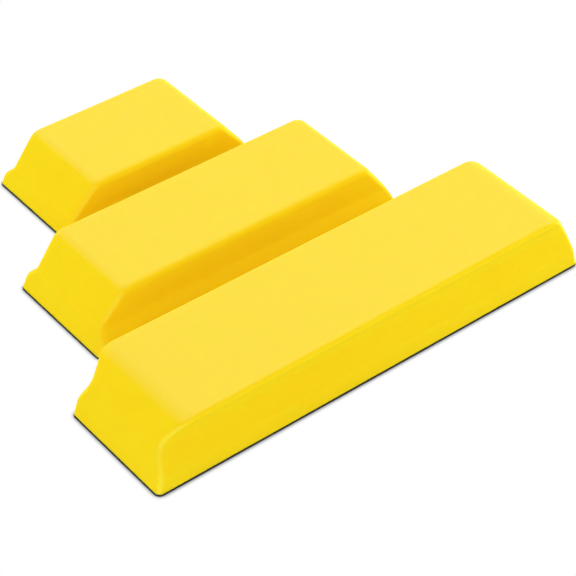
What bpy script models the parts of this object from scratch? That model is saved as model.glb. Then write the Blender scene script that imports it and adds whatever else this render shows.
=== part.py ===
"""Set of three hand sanding blocks: moulded foam bodies faced underneath with black hook pads.

Metres, +Z up, +X along the blocks. The origin is on the table, under the middle of the set.
Each block is a foam body, a film of glue and a hook pad that takes hook-and-loop abrasive sheet.
The long block lies in front, then the medium one, and the short one lies at the back.
"""
import math
from dataclasses import dataclass

import bmesh
import bpy
import numpy as np

# Foam bodies: sizes that the three blocks share
BASE_WIDTH = 0.0700
BASE_CORNER_RADIUS = 0.0028
TOP_CORNER_RADIUS = 0.0045
LIP_DRAFT = 0.0006
LIP_ROUND = 0.0035

# Long block: a tall lip below a wide hollow groove, with a grip almost as wide as the base above it.
# The grip wall leans out over the groove, up to a tight top edge along the sides and a wide one at the ends.
LONG_LENGTH = 0.2750
LONG_LIP_HEIGHT = 0.0092
LONG_LEDGE_RISE = 0.0140
LONG_GROOVE_DEPTH = 0.0078
LONG_GROOVE_ROUND = 0.0100
LONG_GRIP_HEIGHT = 0.0134
LONG_TOP_INSET = 0.0004
LONG_TOP_ROUND = 0.0022
LONG_FOOT_SLOPE = 0.23
LONG_CREASE_ROUND = 0.0250
LONG_END_SETBACK = 0.0176
LONG_END_ROUND = 0.0110

# Medium and short blocks: lower lips and one crisp groove section under a narrower grip
MEDIUM_LENGTH = 0.1980
MEDIUM_LIP_HEIGHT = 0.0073
SHORT_LENGTH = 0.1232
SHORT_LIP_HEIGHT = 0.0052
SMALL_LEDGE_RISE = 0.0055
SMALL_GROOVE_DEPTH = 0.0063
SMALL_GROOVE_ROUND = 0.0018
SMALL_GRIP_HEIGHT = 0.0192
SMALL_TOP_INSET = 0.0047
SMALL_TOP_ROUND = 0.0036
SMALL_FOOT_SLOPE = 0.34
SMALL_CREASE_ROUND = 0.0080
SMALL_END_SETBACK = 0.0191
SMALL_END_ROUND = 0.0060

# Hook pads and the glue under the foam
PAD_THICKNESS = 0.0007
PAD_OVERHANG = 0.0004
GLUE_THICKNESS = 0.0002
GLUE_RECESS = 0.0015
SEAT_GAP = 0.0002

# How the set lies: clear space between the foam bases, and shifts from the long block's middle
LONG_TO_MEDIUM = 0.0222
MEDIUM_TO_SHORT = 0.0089
MEDIUM_SHIFT = -0.0061
SHORT_SHIFT = -0.0042

# Fineness of the meshes
CORNER_STEPS = 6
ARC_STEPS = 6
RING_STEP = 0.00012
LEG_SHARE = 0.48
SMOOTH_ANGLE = math.radians(40)

# Colour and roughness of each material
FOAM_YELLOW = (0.93, 0.66, 0.012, 1.0)
FOAM_ROUGHNESS = 0.45
GLUE_AMBER = (0.16, 0.11, 0.04, 1.0)
GLUE_ROUGHNESS = 0.35
HOOK_BLACK = (0.012, 0.012, 0.013, 1.0)
HOOK_ROUGHNESS = 0.85


@dataclass
class Block:
    """Sizes of one block, and where its middle lies on the table."""
    name: str
    length: float
    lip_height: float
    ledge_rise: float
    groove_depth: float
    groove_round: float
    grip_height: float
    top_inset: float
    top_round: float
    foot_slope: float
    crease_round: float
    end_setback: float
    end_round: float
    middle: tuple

    @property
    def groove_height(self):
        return self.lip_height + self.ledge_rise

    @property
    def height(self):
        return self.groove_height + self.grip_height


def rounded_corner(before, corner, after, radius):
    """Points of the arc that rounds a corner, held to a share of its shorter leg."""
    legs = (before - corner, after - corner)
    lengths = [np.linalg.norm(leg) for leg in legs]
    units = [leg / length for leg, length in zip(legs, lengths)]
    half_angle = math.acos(float(np.dot(*units))) / 2
    reach = min(radius / math.tan(half_angle), LEG_SHARE * min(lengths))
    bisector = units[0] + units[1]
    bisector /= np.linalg.norm(bisector)
    centre = corner + bisector * reach / math.cos(half_angle)
    first, last = (corner + unit * reach - centre for unit in units)
    turn = math.pi - 2 * half_angle
    points = []
    for share in np.linspace(0.0, 1.0, ARC_STEPS + 1):
        weights = math.sin(turn * (1 - share)), math.sin(turn * share)
        points.append(centre + (weights[0] * first + weights[1] * last) / math.sin(turn))
    return points


def rounded_path(corners, radii):
    """Rows of inset and height along a path whose inner corners are rounded."""
    corners = [np.array(corner) for corner in corners]
    points = [corners[0]]
    for before, corner, after, radius in zip(corners, corners[1:], corners[2:], radii):
        points += rounded_corner(before, corner, after, radius)
    return np.array(points)


def side_profile(block):
    """Inset up a long side: base lip, ledge, finger groove, grip wall and top edge."""
    corners = [
        (0.0, 0.0),
        (LIP_DRAFT, block.lip_height),
        (block.groove_depth, block.groove_height),
        (block.top_inset, block.height),
        (BASE_WIDTH / 2, block.height),
    ]
    return rounded_path(corners, (LIP_ROUND, block.groove_round, block.top_round))


def end_profile(block):
    """Inset up an end: a steep foot as high as the groove, then the slope back to a wide round top edge."""
    corners = [
        (0.0, 0.0),
        (block.foot_slope * block.groove_height, block.groove_height),
        (block.end_setback, block.height),
        (block.length / 2, block.height),
    ]
    return rounded_path(corners, (block.crease_round, block.end_round))


def ring_heights(*profiles):
    """Heights of the profiles' points in order, without those close to the one below or the top."""
    heights = np.unique(np.concatenate([profile[:, 1] for profile in profiles]))
    kept = [heights[0]]
    for height in heights[1:-1]:
        if min(height - kept[-1], heights[-1] - height) > RING_STEP:
            kept.append(height)
    return kept + [heights[-1]]


def rounded_rectangle(length, width, radius, height):
    """Corners of a level rectangle with round corners, anticlockwise from above."""
    radius = min(radius, length / 2, width / 2)
    points = []
    for quarter, (sign_x, sign_y) in enumerate(((1, 1), (-1, 1), (-1, -1), (1, -1))):
        for step in range(CORNER_STEPS + 1):
            angle = (quarter + step / CORNER_STEPS) * math.pi / 2
            x = sign_x * (length / 2 - radius) + radius * math.cos(angle)
            y = sign_y * (width / 2 - radius) + radius * math.sin(angle)
            points.append((x, y, height))
    return points


def skin(rings):
    """Closed mesh over a stack of level rings, from the lowest to the highest."""
    mesh = bmesh.new()
    loops = [[mesh.verts.new(point) for point in ring] for ring in rings]
    count = len(loops[0])
    for lower, upper in zip(loops, loops[1:]):
        for index in range(count):
            after = (index + 1) % count
            mesh.faces.new((lower[index], lower[after], upper[after], upper[index]))
    mesh.faces.new(reversed(loops[0]))
    mesh.faces.new(loops[-1])
    return mesh


def slab(length, width, radius, thickness):
    """Flat plate with round corners, standing on its own zero height."""
    return skin([rounded_rectangle(length, width, radius, height) for height in (0.0, thickness)])


def foam_body(block):
    """Foam moulding on its own zero height, grooved along its sides and sloped at its ends."""
    side = side_profile(block)
    end = end_profile(block)
    rings = []
    for height in ring_heights(side, end):
        length = block.length - 2 * np.interp(height, end[:, 1], end[:, 0])
        width = BASE_WIDTH - 2 * np.interp(height, side[:, 1], side[:, 0])
        share = height / block.height
        radius = BASE_CORNER_RADIUS + share * (TOP_CORNER_RADIUS - BASE_CORNER_RADIUS)
        rings.append(rounded_rectangle(length, width, radius, height))
    return skin(rings)


def material(name, colour, roughness):
    """Plain shader of one colour and roughness."""
    made = bpy.data.materials.new(name)
    made.use_nodes = True
    shader = made.node_tree.nodes["Principled BSDF"]
    shader.inputs["Base Color"].default_value = colour
    shader.inputs["Roughness"].default_value = roughness
    shader.inputs["Metallic"].default_value = 0.0
    return made


def add_piece(name, shape, finish, carrier, height):
    """Named object of a shape, at a height on its block's empty."""
    mesh = bpy.data.meshes.new(name)
    shape.to_mesh(mesh)
    shape.free()
    mesh.shade_smooth()
    mesh.set_sharp_from_angle(angle=SMOOTH_ANGLE)
    mesh.materials.append(finish)
    piece = bpy.data.objects.new(name, mesh)
    piece.parent = carrier
    piece.location = (0.0, 0.0, height)
    bpy.context.collection.objects.link(piece)


def add_block(block, finishes):
    """The pieces of one block, stacked from the table up on an empty at its middle."""
    carrier = bpy.data.objects.new(block.name + "_block", None)
    carrier.location = (*block.middle, 0.0)
    bpy.context.collection.objects.link(carrier)
    pad = slab(block.length + 2 * PAD_OVERHANG, BASE_WIDTH + 2 * PAD_OVERHANG,
               BASE_CORNER_RADIUS + PAD_OVERHANG, PAD_THICKNESS)
    glue = slab(block.length - 2 * GLUE_RECESS, BASE_WIDTH - 2 * GLUE_RECESS,
                BASE_CORNER_RADIUS, GLUE_THICKNESS)
    glue_height = PAD_THICKNESS + SEAT_GAP
    foam_height = glue_height + GLUE_THICKNESS + SEAT_GAP
    add_piece(block.name + "_hook_pad", pad, finishes["hook"], carrier, 0.0)
    add_piece(block.name + "_glue_film", glue, finishes["glue"], carrier, glue_height)
    add_piece(block.name + "_foam_body", foam_body(block), finishes["foam"], carrier, foam_height)


def blocks():
    """The three blocks, laid out so that the set's outline is centred on the origin."""
    medium_y = BASE_WIDTH + LONG_TO_MEDIUM
    short_y = medium_y + BASE_WIDTH + MEDIUM_TO_SHORT
    long_y = -short_y / 2
    small = {
        "ledge_rise": SMALL_LEDGE_RISE,
        "groove_depth": SMALL_GROOVE_DEPTH,
        "groove_round": SMALL_GROOVE_ROUND,
        "grip_height": SMALL_GRIP_HEIGHT,
        "top_inset": SMALL_TOP_INSET,
        "top_round": SMALL_TOP_ROUND,
        "foot_slope": SMALL_FOOT_SLOPE,
        "crease_round": SMALL_CREASE_ROUND,
        "end_setback": SMALL_END_SETBACK,
        "end_round": SMALL_END_ROUND,
    }
    return (
        Block("long", LONG_LENGTH, LONG_LIP_HEIGHT, LONG_LEDGE_RISE, LONG_GROOVE_DEPTH,
              LONG_GROOVE_ROUND, LONG_GRIP_HEIGHT, LONG_TOP_INSET, LONG_TOP_ROUND, LONG_FOOT_SLOPE,
              LONG_CREASE_ROUND, LONG_END_SETBACK, LONG_END_ROUND, (0.0, long_y)),
        Block("medium", MEDIUM_LENGTH, MEDIUM_LIP_HEIGHT,
              middle=(MEDIUM_SHIFT, long_y + medium_y), **small),
        Block("short", SHORT_LENGTH, SHORT_LIP_HEIGHT,
              middle=(SHORT_SHIFT, long_y + short_y), **small),
    )


def main():
    for old in list(bpy.data.objects):
        bpy.data.objects.remove(old)
    finishes = {
        "foam": material("yellow_foam", FOAM_YELLOW, FOAM_ROUGHNESS),
        "glue": material("amber_glue", GLUE_AMBER, GLUE_ROUGHNESS),
        "hook": material("black_hook", HOOK_BLACK, HOOK_ROUGHNESS),
    }
    for block in blocks():
        add_block(block, finishes)


main()
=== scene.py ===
"""Looks of a set of three hand sanding blocks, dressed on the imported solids.

Each block is a foam body with a nearly matt skin, a film of glue and black hook tape with its hooks.
Metres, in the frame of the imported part: +X along the blocks, +Y to the shorter blocks, +Z up.
"""

import math
import random

import bpy
import numpy as np
from mathutils import Matrix, Vector, noise


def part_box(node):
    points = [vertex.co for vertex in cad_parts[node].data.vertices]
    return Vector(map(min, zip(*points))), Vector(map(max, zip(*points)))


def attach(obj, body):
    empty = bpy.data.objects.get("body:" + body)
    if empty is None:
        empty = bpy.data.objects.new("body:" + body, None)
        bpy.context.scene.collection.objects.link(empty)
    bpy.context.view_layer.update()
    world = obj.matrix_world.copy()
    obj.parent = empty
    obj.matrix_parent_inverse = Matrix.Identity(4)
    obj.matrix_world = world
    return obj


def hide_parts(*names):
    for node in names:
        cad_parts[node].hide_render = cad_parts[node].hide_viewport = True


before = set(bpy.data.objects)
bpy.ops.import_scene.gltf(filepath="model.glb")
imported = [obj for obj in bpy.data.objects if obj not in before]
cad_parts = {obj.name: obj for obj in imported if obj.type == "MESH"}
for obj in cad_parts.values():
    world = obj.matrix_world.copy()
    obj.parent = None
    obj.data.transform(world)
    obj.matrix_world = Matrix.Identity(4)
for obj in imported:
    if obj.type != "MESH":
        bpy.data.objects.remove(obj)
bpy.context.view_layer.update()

BLOCKS = ("long", "medium", "short")
SEED = 7

# Foam skin: fineness of its mesh
FOAM_STEP = 0.0040
RING_STEP = 0.0004
RING_BLUR = 0.0012
BLUR_REACH = 3 * RING_BLUR
HALF_CORNER_STEPS = 5
SHARP_ANGLE = math.radians(50)
LEVEL_MATCH = 0.000002

# Unevenness that moulding leaves: width and depth of each wave, and the sink over the top
SKIN_WAVES = ((0.045, 0.00016), (0.011, 0.00005))
TOP_SINK = 0.00022
TOP_SINK_POWER = 4
TOP_FACING = 0.5

# Hook tape: backing over a field of small hooks that stand on the table
HOOK_HEIGHT = 0.00055
HOOK_PITCH = 0.0015
HOOK_ROW_PITCH = 0.0018
HOOK_BORDER = 0.00042
HOOK_ROOT = 0.00008
HOOK_SHAFT = 0.00014
HOOK_TIP = 0.00009
HOOK_SIDES = 3
HOOK_YAW = math.radians(16)
TAPE_BORDER = 0.00030
TAPE_STEP = 0.0007
TAPE_RAGGED = 0.00016

# Middle line of a hook, from its root in the backing: how far it has curled, and its height
HOOK_PATH = (
    (0.0, HOOK_HEIGHT + HOOK_ROOT),
    (0.00002, 0.00036),
    (0.00009, 0.00018),
    (0.00024, HOOK_TIP),
    (0.00036, 0.00021),
)

# Colours, as they show in plain white light, except three painted ones: the sheen on the tops, the
# highlight on the corners and the shade in the pinholes
FOAM_YELLOW = (0.990, 0.695, 0.009, 1.0)
# Painted sheen: paler, bluer yellow that surfaces facing up are mixed towards
PAINTED_TOP_SHEEN = (0.990, 0.703, 0.076, 1.0)
FOAM_DEEP = (0.982, 0.672, 0.007, 1.0)
# Painted highlight: lighter yellow that the rounded vertical corners are mixed towards
PAINTED_CORNER_HIGHLIGHT = (0.995, 0.770, 0.050, 1.0)
# Painted shade: the darker orange that the pinholes are darkened towards
PINHOLE_SHADE = (0.62, 0.36, 0.003, 1.0)
GLUE_AMBER = (0.16, 0.11, 0.04, 1.0)
GLUE_CLOUDED = (0.30, 0.24, 0.13, 1.0)
TAPE_BLACK = (0.012, 0.012, 0.013, 1.0)
TAPE_DUSTY = (0.030, 0.029, 0.030, 1.0)
HOOK_BLACK = (0.014, 0.014, 0.015, 1.0)
PAPER = (0.96, 0.96, 0.96, 1.0)
SHADE = (0.05, 0.05, 0.06, 1.0)
WHITE = (1.0, 1.0, 1.0, 1.0)

# Patterns: widths and detail of the noises, and the span that most of a noise lies in
NOISE_SPAN = (0.3, 0.7)
DRIFT_WIDTH = 0.050
DRIFT_DETAIL = 2.0
PATCH_WIDTH = 0.009
PATCH_DETAIL = 3.0
PEEL_WIDTH = 0.0011
PEEL_DETAIL = 3.0
CLOUD_WIDTH = 0.006
CLOUD_DETAIL = 3.0
DUST_WIDTH = 0.003
DUST_DETAIL = 4.0

# Foam finish: spans over which each feature comes in, and its strength
TONE_SPAN = (0.7, 1.3)
# Painted sheen on surfaces facing up: the span of normal Z it comes in over, and its strength
TOP_SHEEN_SPAN = (0.74, 1.0)
TOP_SHEEN_SHARE = 0.8
# Painted highlight on the rounded vertical corners: the span of the normal's slant it comes in over, and
# its strength
CORNER_HIGHLIGHT_SPAN = (0.20, 0.45)
CORNER_HIGHLIGHT_SHARE = 0.8
PINHOLE_SPACING = 0.013
PINHOLE_RIM = (0.018, 0.030)
PINHOLE_STRENGTH = 0.35
PEEL_STRENGTH = 0.25
PEEL_DEPTH = 0.00012
FOAM_ROUGHNESS = (0.70, 0.82)
FOAM_GLOSS = 0.05
FOAM_SCATTER = 0.9
SCATTER_BY_COLOUR = (1.0, 0.95, 0.5)
SCATTER_REACH = 0.0015

# Finish of the glue, the tape and the hooks
CLOUD_SPAN = (0.4, 0.7)
GLUE_ROUGHNESS = (0.25, 0.45)
THREAD_SCALE = 400.0
THREAD_WANDER = 0.6
WEAVE_STRENGTH = 0.6
WEAVE_DEPTH = 0.0001
DUST_SPAN = (0.45, 0.75)
TAPE_ROUGHNESS = (0.95, 0.75)
TAPE_GLOSS = 0.25
HOOK_ROUGHNESS = 0.42
HOOK_GLOSS = 0.35

# Places of a colour Mix node's sockets, whose names it shares with other kinds of value
MIX_SHARE = 0
MIX_FIRST = 6
MIX_SECOND = 7
MIX_RESULT = 2

# Camera: found from the photo's edges, for an image of 576 by 576 pixels
PHOTO_SIDE = 576
FOCAL_PIXELS = 2084.0
SENSOR = 36.0
CAMERA_AZIMUTH = math.radians(-40.707)
CAMERA_ELEVATION = math.radians(41.095)
CAMERA_ROLL = math.radians(2.155)
CAMERA_DISTANCE = 1.0755
CAMERA_TARGET = Vector((0.0025, -0.0441, 0.0021))

# Studio: lamp name, place, width and power, all aimed at the set
LAMPS = (
    ("back_low", (0.0, 1.24, 0.66), 0.9, 2.0),
    ("back_high", (0.0, 0.90, 1.07), 0.9, 3.0),
    ("front_high", (0.0, -0.90, 1.07), 0.9, 2.8),
    ("front_right", (0.87, -0.87, 0.66), 0.9, 2.0),
    ("right", (1.37, 0.0, 0.29), 0.44, 6.0),
    ("left", (-1.37, 0.0, 0.29), 0.44, 2.6),
)
WORLD_LIGHT = 0.70
FLOOR_SIDE = 6.0
FLOOR_DROP = 0.00005
CONTACT_REACH = 0.0030
CONTACT_SPAN = (0.40, 0.95)


def set_inputs(tree, shader, inputs):
    """Sets or links a shader node's inputs, by name or place."""
    for name, value in inputs.items():
        if isinstance(value, bpy.types.NodeSocket):
            tree.links.new(value, shader.inputs[name])
        else:
            shader.inputs[name].default_value = value


def node(tree, kind, inputs=None, **settings):
    """Adds a shader node, with its settings, and its inputs set or linked."""
    made = tree.nodes.new(kind)
    for name, value in settings.items():
        setattr(made, name, value)
    set_inputs(tree, made, inputs or {})
    return made


def new_material(name):
    """A material with its node tree and its Principled shader."""
    made = bpy.data.materials.new(name)
    made.use_nodes = True
    return made, made.node_tree, made.node_tree.nodes["Principled BSDF"]


def object_place(tree):
    """Place on the object, in metres."""
    return node(tree, "ShaderNodeTexCoord").outputs["Object"]


def noise_value(tree, place, width, detail):
    """Noise whose lumps are about as wide as width."""
    inputs = {"Vector": place, "Scale": 1 / width, "Detail": detail}
    return node(tree, "ShaderNodeTexNoise", inputs).outputs[0]


def ranged(tree, value, span, result=(0.0, 1.0)):
    """A value carried from one span to another, with its ends held."""
    inputs = {"Value": value, "From Min": span[0], "From Max": span[1],
              "To Min": result[0], "To Max": result[1]}
    return node(tree, "ShaderNodeMapRange", inputs).outputs[0]


def combined(tree, operation, *values):
    """Result of a math operation on one or two values."""
    return node(tree, "ShaderNodeMath", dict(enumerate(values)), operation=operation).outputs[0]


def mixed_colour(tree, share, first, second):
    """Colour between two others."""
    inputs = {MIX_SHARE: share, MIX_FIRST: first, MIX_SECOND: second}
    return node(tree, "ShaderNodeMix", inputs, data_type="RGBA").outputs[MIX_RESULT]


def bumpy(tree, relief, strength, depth):
    """Surface direction bent by a relief."""
    inputs = {"Height": relief, "Strength": strength, "Distance": depth}
    return node(tree, "ShaderNodeBump", inputs).outputs[0]


def foam_material():
    """Nearly matt skin of yellow foam: painted sheen on the tops, a painted highlight on the rounded
    corners, slow drifts, a fine peel and pinholes with painted shade in them.
    """
    made, tree, shader = new_material("foam_skin")
    place = object_place(tree)
    drift = noise_value(tree, place, DRIFT_WIDTH, DRIFT_DETAIL)
    peel = noise_value(tree, place, PEEL_WIDTH, PEEL_DETAIL)
    patches = noise_value(tree, place, PATCH_WIDTH, PATCH_DETAIL)
    cells = node(tree, "ShaderNodeTexVoronoi", {"Vector": place, "Scale": 1 / PINHOLE_SPACING})
    pinholes = ranged(tree, cells.outputs["Distance"], PINHOLE_RIM, (PINHOLE_STRENGTH, 0.0))
    normal = node(tree, "ShaderNodeNewGeometry").outputs["Normal"]
    facing = node(tree, "ShaderNodeSeparateXYZ", {0: normal}).outputs
    slant = combined(tree, "ABSOLUTE", combined(tree, "MULTIPLY", facing["X"], facing["Y"]))
    tone = ranged(tree, combined(tree, "ADD", drift, patches), TONE_SPAN)
    # Painted sheen: surfaces facing up are mixed towards a paler yellow
    top_sheen = ranged(tree, facing["Z"], TOP_SHEEN_SPAN, (0.0, TOP_SHEEN_SHARE))
    # Painted highlight: where the normal leans both along X and Y, on the rounded vertical corners, the
    # skin is mixed towards a lighter yellow
    corner_highlight = ranged(tree, slant, CORNER_HIGHLIGHT_SPAN, (0.0, CORNER_HIGHLIGHT_SHARE))
    skin = mixed_colour(tree, tone, FOAM_DEEP, FOAM_YELLOW)
    skin = mixed_colour(tree, top_sheen, skin, PAINTED_TOP_SHEEN)
    skin = mixed_colour(tree, corner_highlight, skin, PAINTED_CORNER_HIGHLIGHT)
    relief = combined(tree, "SUBTRACT", peel, pinholes)
    set_inputs(tree, shader, {
        # Painted shade: the pinholes are darkened towards a deeper orange
        "Base Color": mixed_colour(tree, pinholes, skin, PINHOLE_SHADE),
        "Roughness": ranged(tree, patches, NOISE_SPAN, FOAM_ROUGHNESS),
        "Specular IOR Level": FOAM_GLOSS,
        "Subsurface Weight": FOAM_SCATTER,
        "Subsurface Radius": SCATTER_BY_COLOUR,
        "Subsurface Scale": SCATTER_REACH,
        "Normal": bumpy(tree, relief, PEEL_STRENGTH, PEEL_DEPTH),
    })
    return made


def glue_material():
    """Thin amber glue, clouded in places."""
    made, tree, shader = new_material("glue")
    clouds = noise_value(tree, object_place(tree), CLOUD_WIDTH, CLOUD_DETAIL)
    set_inputs(tree, shader, {
        "Base Color": mixed_colour(tree, ranged(tree, clouds, CLOUD_SPAN), GLUE_AMBER, GLUE_CLOUDED),
        "Roughness": ranged(tree, clouds, NOISE_SPAN, GLUE_ROUGHNESS),
    })
    return made


def threads(tree, place, direction):
    """Waves of threads that follow each other in one direction."""
    inputs = {"Vector": place, "Scale": THREAD_SCALE, "Distortion": THREAD_WANDER}
    return node(tree, "ShaderNodeTexWave", inputs, bands_direction=direction).outputs[1]


def tape_material():
    """Black woven tape: crossing threads with a little dust on them."""
    made, tree, shader = new_material("woven_tape")
    place = object_place(tree)
    weave = combined(tree, "MAXIMUM", threads(tree, place, "X"), threads(tree, place, "Y"))
    dust = noise_value(tree, place, DUST_WIDTH, DUST_DETAIL)
    set_inputs(tree, shader, {
        "Base Color": mixed_colour(tree, ranged(tree, dust, DUST_SPAN), TAPE_BLACK, TAPE_DUSTY),
        "Roughness": ranged(tree, weave, (0.0, 1.0), TAPE_ROUGHNESS),
        "Specular IOR Level": TAPE_GLOSS,
        "Normal": bumpy(tree, weave, WEAVE_STRENGTH, WEAVE_DEPTH),
    })
    return made


def hook_material():
    """Black nylon of the hooks, too fine to show a pattern."""
    made, tree, shader = new_material("hook_nylon")
    set_inputs(tree, shader, {
        "Base Color": HOOK_BLACK,
        "Roughness": HOOK_ROUGHNESS,
        "Specular IOR Level": HOOK_GLOSS,
    })
    return made


def ring_rows(name):
    """Middle of a solid, and rows of height, half length, half width and corner radius up its rings."""
    points = np.array([vertex.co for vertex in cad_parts[name].data.vertices])
    middle = (points.min(0) + points.max(0)) / 2
    heights = [points[:, 2].min()]
    for height in np.sort(points[:, 2]):
        if height - heights[-1] > LEVEL_MATCH:
            heights.append(height)
    rows = []
    for height in heights:
        level = points[abs(points[:, 2] - height) < LEVEL_MATCH]
        spread = abs(level[:, :2] - middle[:2])
        half_length, half_width = spread.max(0)
        end_run = spread[spread[:, 0] > half_length - LEVEL_MATCH]
        rows.append((height, half_length, half_width, half_width - end_run[:, 1].max()))
    return middle, np.array(rows)


def finer_rows(rows):
    """Rows set evenly up the outline, with the small facets of the solid blurred out."""
    steps = np.linalg.norm(np.diff(rows[:, :3], axis=0), axis=1)
    along = np.concatenate(([0.0], np.cumsum(steps)))
    places = np.linspace(0.0, along[-1], round(along[-1] / RING_STEP) + 1)
    even = np.stack([np.interp(places, along, column) for column in rows.T], axis=1)
    reach = round(BLUR_REACH / RING_STEP)
    weights = np.exp(-0.5 * (np.arange(-reach, reach + 1) * RING_STEP / RING_BLUR) ** 2)
    weights /= weights.sum()
    before = 2 * even[0] - even[reach:0:-1]
    after = 2 * even[-1] - even[-2:-reach - 2:-1]
    longer = np.concatenate((before, even, after))
    return np.stack([np.convolve(column, weights, "valid") for column in longer.T], axis=1)


def half_corner(centre, radius, start):
    """Points along an eighth of a turn round a corner's centre."""
    points = []
    for step in range(HALF_CORNER_STEPS):
        turn = start + step / HALF_CORNER_STEPS * math.pi / 4
        points.append(centre + radius * np.array((math.cos(turn), math.sin(turn))))
    return points


def ring_side(quarter, halves, radius, runs):
    """Points along one side of a rounded rectangle, from the middle of one corner up to the next."""
    angle = quarter * math.pi / 2
    out = np.array((math.cos(angle), math.sin(angle)))
    along = np.array((-math.sin(angle), math.cos(angle)))
    reach = halves[quarter % 2] - radius
    span = halves[(quarter + 1) % 2] - radius
    first = half_corner(out * reach - along * span, radius, angle - math.pi / 4)
    straight = [out * (reach + radius) + along * span * (2 * step / runs - 1) for step in range(runs)]
    last = half_corner(out * reach + along * span, radius, angle)
    return first + straight + last


def run_counts(halves, step):
    """Steps along the straight runs of a ring's long and short sides."""
    return [round(2 * half / step) for half in halves]


def ring(halves, radius, runs, height):
    """Points round a rounded rectangle, anticlockwise, starting at the middle of its first corner."""
    points = []
    for quarter in range(4):
        points += ring_side(quarter, halves, radius, runs[(quarter + 1) % 2])
    return np.array([(x, y, height) for x, y in points])


def between(first, last, share):
    """Point on the way from one point to another."""
    return (1 - share) * first + share * last


def grid_cap(loop, runs):
    """Grid over a ring: its inner points, and rows of ring or inner numbers from the near side back."""
    across, along = (2 * HALF_CORNER_STEPS + run for run in (runs[1], runs[0]))
    count = len(loop)
    right = list(range(across + 1))
    back = list(range(across, across + along + 1))[::-1]
    left = list(range(across + along, 2 * across + along + 1))[::-1]
    near = [(2 * across + along + k) % count for k in range(along + 1)]
    inner = []
    rows = [near]
    for step in range(1, across):
        to_back = step / across
        row = [left[step]]
        for place in range(1, along):
            to_right = place / along
            edges = (between(loop[near[place]], loop[back[place]], to_back)
                     + between(loop[left[step]], loop[right[step]], to_right))
            corners = between(between(loop[near[0]], loop[near[-1]], to_right),
                              between(loop[back[0]], loop[back[-1]], to_right), to_back)
            row.append(count + len(inner))
            inner.append(edges - corners)
        rows.append(row + [right[step]])
    return np.array(inner), rows + [back]


def band_faces(count, loops):
    """Faces between each loop of count points and the next loop."""
    faces = []
    for base in range(0, count * (loops - 1), count):
        for k in range(count):
            after = (k + 1) % count
            faces.append((base + k, base + after, base + count + after, base + count + k))
    return faces


def stacked_mesh(name, rings, runs):
    """Closed mesh over level rings, lowest first, with a grid over each end."""
    count = len(rings[0])
    points = list(np.concatenate(rings))
    faces = band_faces(count, len(rings))
    for level, flip in ((0, True), (len(rings) - 1, False)):
        inner, rows = grid_cap(rings[level], runs)
        base, extra = level * count, len(points)
        points += list(inner)
        ids = [[base + k if k < count else extra + k - count for k in row] for row in rows]
        for lower, upper in zip(ids, ids[1:]):
            for k in range(len(lower) - 1):
                face = (lower[k], lower[k + 1], upper[k + 1], upper[k])
                faces.append(face[::-1] if flip else face)
    mesh = bpy.data.meshes.new(name)
    mesh.from_pydata([tuple(point) for point in points], [], faces)
    mesh.shade_smooth()
    mesh.set_sharp_from_angle(angle=SHARP_ANGLE)
    return mesh


def add_object(name, data):
    """An object in the scene."""
    made = bpy.data.objects.new(name, data)
    bpy.context.scene.collection.objects.link(made)
    return made


def add_piece(name, mesh, material, body):
    """A piece of the set that rides on a body of the frame."""
    mesh.materials.append(material)
    piece = add_object(name, mesh)
    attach(piece, body)
    return piece


def uneven(mesh, middle, top_halves):
    """Takes a little off the skin, in slow waves and in a shallow sink over the top."""
    count = len(mesh.vertices)
    points, normals = np.empty(3 * count), np.empty(3 * count)
    mesh.vertices.foreach_get("co", points)
    mesh.vertices.foreach_get("normal", normals)
    points, normals = points.reshape(-1, 3), normals.reshape(-1, 3)
    depths = np.zeros(count)
    for width, depth in SKIN_WAVES:
        depths += [depth * (0.5 + 0.5 * noise.noise(Vector(point) / width)) for point in points]
    shares = abs(points[:, :2] - middle[:2]) / top_halves
    sink = np.clip(1 - shares ** TOP_SINK_POWER, 0.0, 1.0).prod(1)
    depths += TOP_SINK * sink * (normals[:, 2] > TOP_FACING)
    mesh.vertices.foreach_set("co", (points - normals * depths[:, None]).ravel())
    mesh.update()


def foam_piece(block, material):
    """Foam body with a fine, slightly uneven skin, seated on its glue."""
    solid = block + "_foam_body"
    middle, rows = ring_rows(solid)
    rows[0][0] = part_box(block + "_glue_film")[1].z
    runs = run_counts(rows[0][1:3], FOAM_STEP)
    rings = [ring((half_length, half_width), radius, runs, height) + (middle[0], middle[1], 0.0)
             for height, half_length, half_width, radius in finer_rows(rows)]
    mesh = stacked_mesh(block + "_foam", rings, runs)
    uneven(mesh, middle, rows[-1][1:3])
    piece = add_piece(block + "_foam", mesh, material, block + "_block")
    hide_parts(solid)


def tape_piece(block, material, chance):
    """Backing of the hook tape, cut a little raggedly round its edge."""
    solid = block + "_hook_pad"
    middle, rows = ring_rows(solid)
    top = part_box(block + "_glue_film")[0].z
    half_length, half_width, radius = rows[0][1:]
    halves = (half_length - TAPE_BORDER, half_width - TAPE_BORDER)
    runs = run_counts(halves, TAPE_STEP)
    rings = []
    for height in (HOOK_HEIGHT, (HOOK_HEIGHT + top) / 2, top):
        loop = ring(halves, radius, runs, height)
        away = loop[:, :2] / np.linalg.norm(loop[:, :2], axis=1)[:, None]
        loop[:, :2] += away * np.array([[chance.uniform(-TAPE_RAGGED, TAPE_RAGGED)] for _ in loop])
        rings.append(loop + (middle[0], middle[1], 0.0))
    count = len(rings[0])
    last = count * (len(rings) - 1)
    caps = [tuple(range(count))[::-1], tuple(range(last, last + count))]
    mesh = bpy.data.meshes.new(block + "_tape")
    mesh.from_pydata(np.concatenate(rings).tolist(), [], caps + band_faces(count, len(rings)))
    piece = add_piece(block + "_tape", mesh, material, block + "_block")
    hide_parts(solid)


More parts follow.
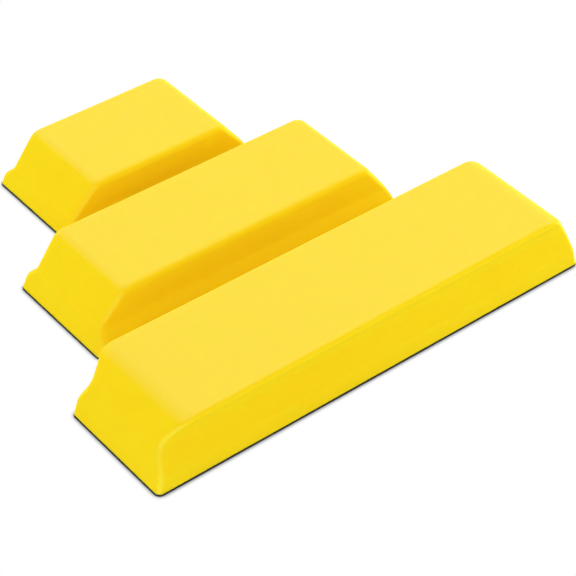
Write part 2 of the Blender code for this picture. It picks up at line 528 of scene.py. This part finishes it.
def hook_shape():
    """Points and faces of one hook: a shaft that leaves the backing and curls back at the table."""
    last = len(HOOK_PATH) - 1
    points = []
    for k, (curl, height) in enumerate(HOOK_PATH):
        before, after = HOOK_PATH[max(k - 1, 0)], HOOK_PATH[min(k + 1, last)]
        way = Vector((after[0] - before[0], after[1] - before[1])).normalized()
        radius = HOOK_SHAFT + (HOOK_TIP - HOOK_SHAFT) * k / last
        for side in range(HOOK_SIDES):
            turn = math.pi / 2 + 2 * math.pi * side / HOOK_SIDES
            across, lift = radius * math.cos(turn), radius * math.sin(turn)
            points.append((curl - way.y * lift, across, height + way.x * lift))
    caps = [tuple(range(HOOK_SIDES))[::-1], tuple(range(HOOK_SIDES * last, HOOK_SIDES * (last + 1)))]
    return np.array(points), caps + band_faces(HOOK_SIDES, len(HOOK_PATH))


def hooks_piece(block, material, chance):
    """Field of hooks under the tape, in rows that curl to the left and right by turns."""
    middle, rows = ring_rows(block + "_hook_pad")
    half_length, half_width, radius = rows[0][1:]
    shape, sides = hook_shape()
    curl = abs(shape[:, 0]).max()
    room_x, room_y = half_length - HOOK_BORDER - curl / 2, half_width - HOOK_BORDER
    columns, lines = int(2 * room_x / HOOK_PITCH), int(2 * room_y / HOOK_ROW_PITCH)
    points, faces = [], []
    for line in range(lines + 1):
        y = room_y * (2 * line / lines - 1)
        facing = math.pi * (line % 2)
        for column in range(columns + 1):
            x = room_x * (2 * column / columns - 1)
            past = Vector((max(0.0, abs(x) - room_x + radius), max(0.0, abs(y) - room_y + radius)))
            if past.length > radius:
                continue
            yaw = facing + chance.uniform(-HOOK_YAW, HOOK_YAW)
            turn = np.array(Matrix.Rotation(yaw, 3, "Z"))
            base = len(points) * len(shape)
            points.append(shape @ turn.T + (middle[0] + x, middle[1] + y, 0.0))
            faces += [tuple(base + k for k in face) for face in sides]
    mesh = bpy.data.meshes.new(block + "_hooks")
    mesh.from_pydata(np.concatenate(points).tolist(), [], faces)
    mesh.shade_smooth()
    add_piece(block + "_hooks", mesh, material, block + "_block")


def dress_glue(block, material):
    """Gives a glue film of the frame its material."""
    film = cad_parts[block + "_glue_film"].data
    film.materials.clear()
    film.materials.append(material)


def add_camera():
    """Camera at the photo's angle."""
    flat = math.cos(CAMERA_ELEVATION)
    back = Vector((math.sin(CAMERA_AZIMUTH) * flat,
                   -math.cos(CAMERA_AZIMUTH) * flat,
                   math.sin(CAMERA_ELEVATION)))
    right = Vector((0, 0, 1)).cross(back).normalized()
    up = back.cross(right)
    rolled = Matrix((right, up, back)).transposed() @ Matrix.Rotation(CAMERA_ROLL, 3, "Z")
    data = bpy.data.cameras.new("camera")
    data.sensor_width = SENSOR
    data.lens = SENSOR * FOCAL_PIXELS / PHOTO_SIDE
    camera = add_object("camera", data)
    camera.matrix_world = Matrix.Translation(CAMERA_TARGET + back * CAMERA_DISTANCE) @ rolled.to_4x4()
    bpy.context.scene.camera = camera


def add_lamp(name, place, width, power):
    """Round soft lamp aimed at the set."""
    data = bpy.data.lights.new(name, "AREA")
    data.shape = "DISK"
    data.size = width
    data.energy = power
    lamp = add_object(name, data)
    lamp.location = place
    lamp.rotation_euler = (-Vector(place)).to_track_quat("-Z", "Y").to_euler()


def seen_rays(tree):
    """One where a ray comes from the camera or from a mirror or glass, and else nought."""
    path = node(tree, "ShaderNodeLightPath").outputs
    mirror = combined(tree, "MAXIMUM", path["Is Glossy Ray"], path["Is Transmission Ray"])
    return combined(tree, "MAXIMUM", path["Is Camera Ray"], mirror)


def add_world():
    """White surroundings that give a plain soft light."""
    world = bpy.data.worlds.new("studio")
    bpy.context.scene.world = world
    world.use_nodes = True
    tree = world.node_tree
    strength = ranged(tree, seen_rays(tree), (0.0, 1.0), (WORLD_LIGHT, 1.0))
    set_inputs(tree, tree.nodes["Background"], {"Color": WHITE, "Strength": strength})


def floor_material():
    """White paper, shown as white with the set's contact shadow."""
    made, tree, shader = new_material("paper")
    set_inputs(tree, shader, {"Base Color": PAPER, "Roughness": 1.0, "Specular IOR Level": 0.0})
    contact = node(tree, "ShaderNodeAmbientOcclusion", {"Distance": CONTACT_REACH}).outputs["AO"]
    colour = mixed_colour(tree, ranged(tree, contact, CONTACT_SPAN), SHADE, WHITE)
    glow = node(tree, "ShaderNodeEmission", {"Color": colour, "Strength": 1.0}).outputs[0]
    shown = {0: seen_rays(tree), 1: shader.outputs[0], 2: glow}
    mix = node(tree, "ShaderNodeMixShader", shown).outputs[0]
    set_inputs(tree, tree.nodes["Material Output"], {"Surface": mix})
    return made


def add_floor():
    """Plain white floor just under the set."""
    half = FLOOR_SIDE / 2
    corners = [(-half, -half, 0), (half, -half, 0), (half, half, 0), (-half, half, 0)]
    mesh = bpy.data.meshes.new("floor")
    mesh.from_pydata(corners, [], [(0, 1, 2, 3)])
    mesh.materials.append(floor_material())
    floor = add_object("floor", mesh)
    floor.location.z = -FLOOR_DROP


foam = foam_material()
glue = glue_material()
tape = tape_material()
nylon = hook_material()
chance = random.Random(SEED)
for block in BLOCKS:
    foam_piece(block, foam)
    tape_piece(block, tape, chance)
    hooks_piece(block, nylon, chance)
    dress_glue(block, glue)

add_camera()
for lamp in LAMPS:
    add_lamp(*lamp)
add_world()
add_floor()
bpy.context.scene.view_settings.view_transform = "Standard"
